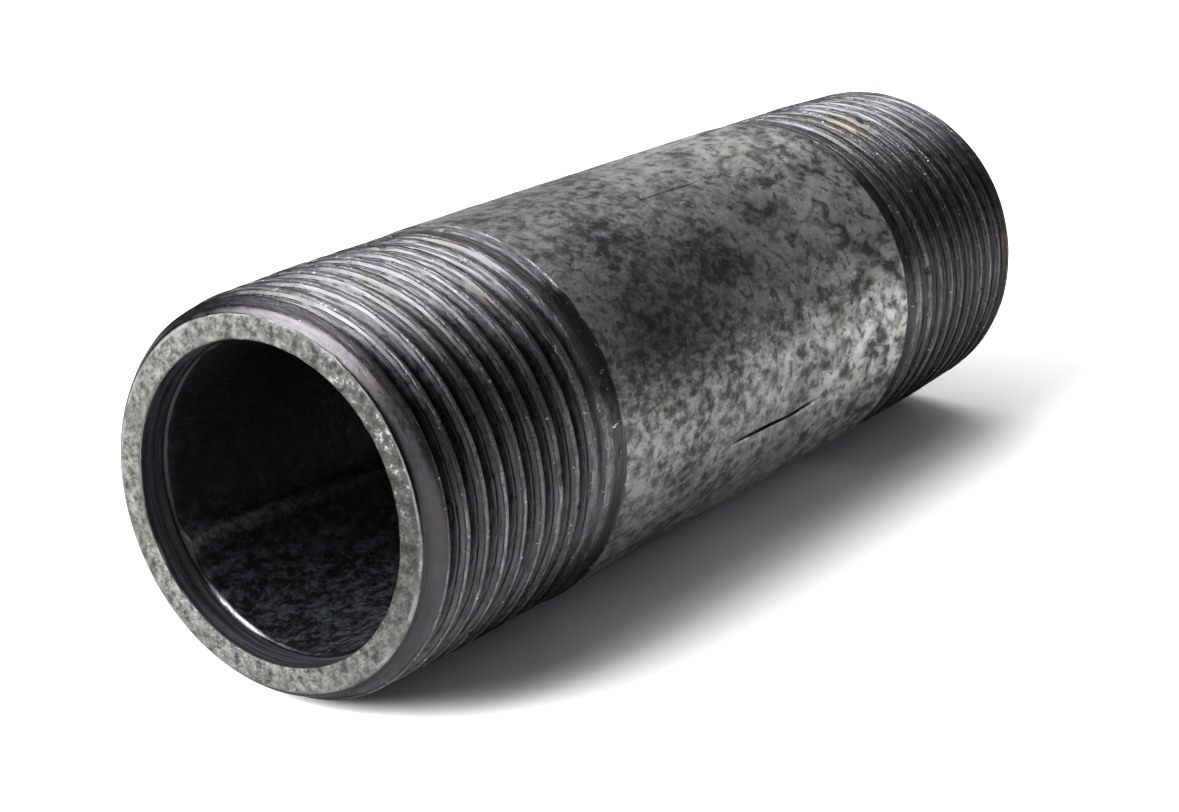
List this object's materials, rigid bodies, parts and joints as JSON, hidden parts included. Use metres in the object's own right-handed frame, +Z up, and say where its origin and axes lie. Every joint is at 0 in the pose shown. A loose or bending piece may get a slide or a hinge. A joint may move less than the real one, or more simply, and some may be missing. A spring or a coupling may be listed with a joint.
{
  "type": "threaded pipe nipple",
  "caption": "Steel barrel nipple: a short plain pipe with a right-hand taper thread on each end, joining two internally threaded fittings.",
  "frame": {"origin": "on the pipe's axis at end face A, where thread A enters its fitting", "axes": "+X along the pipe's axis from end A to end B, +Z up when the nipple lies on its side"},
  "size_m": [0.1, 0.0336, 0.0337],
  "materials": {
    "galvanised_steel": "grey-green mottled coat on the plain barrel, bare cut steel on the threads and end faces"
  },
  "bodies": {
    "root": {"pipe_nipple": "galvanised_steel"}
  },
  "joints": []
}
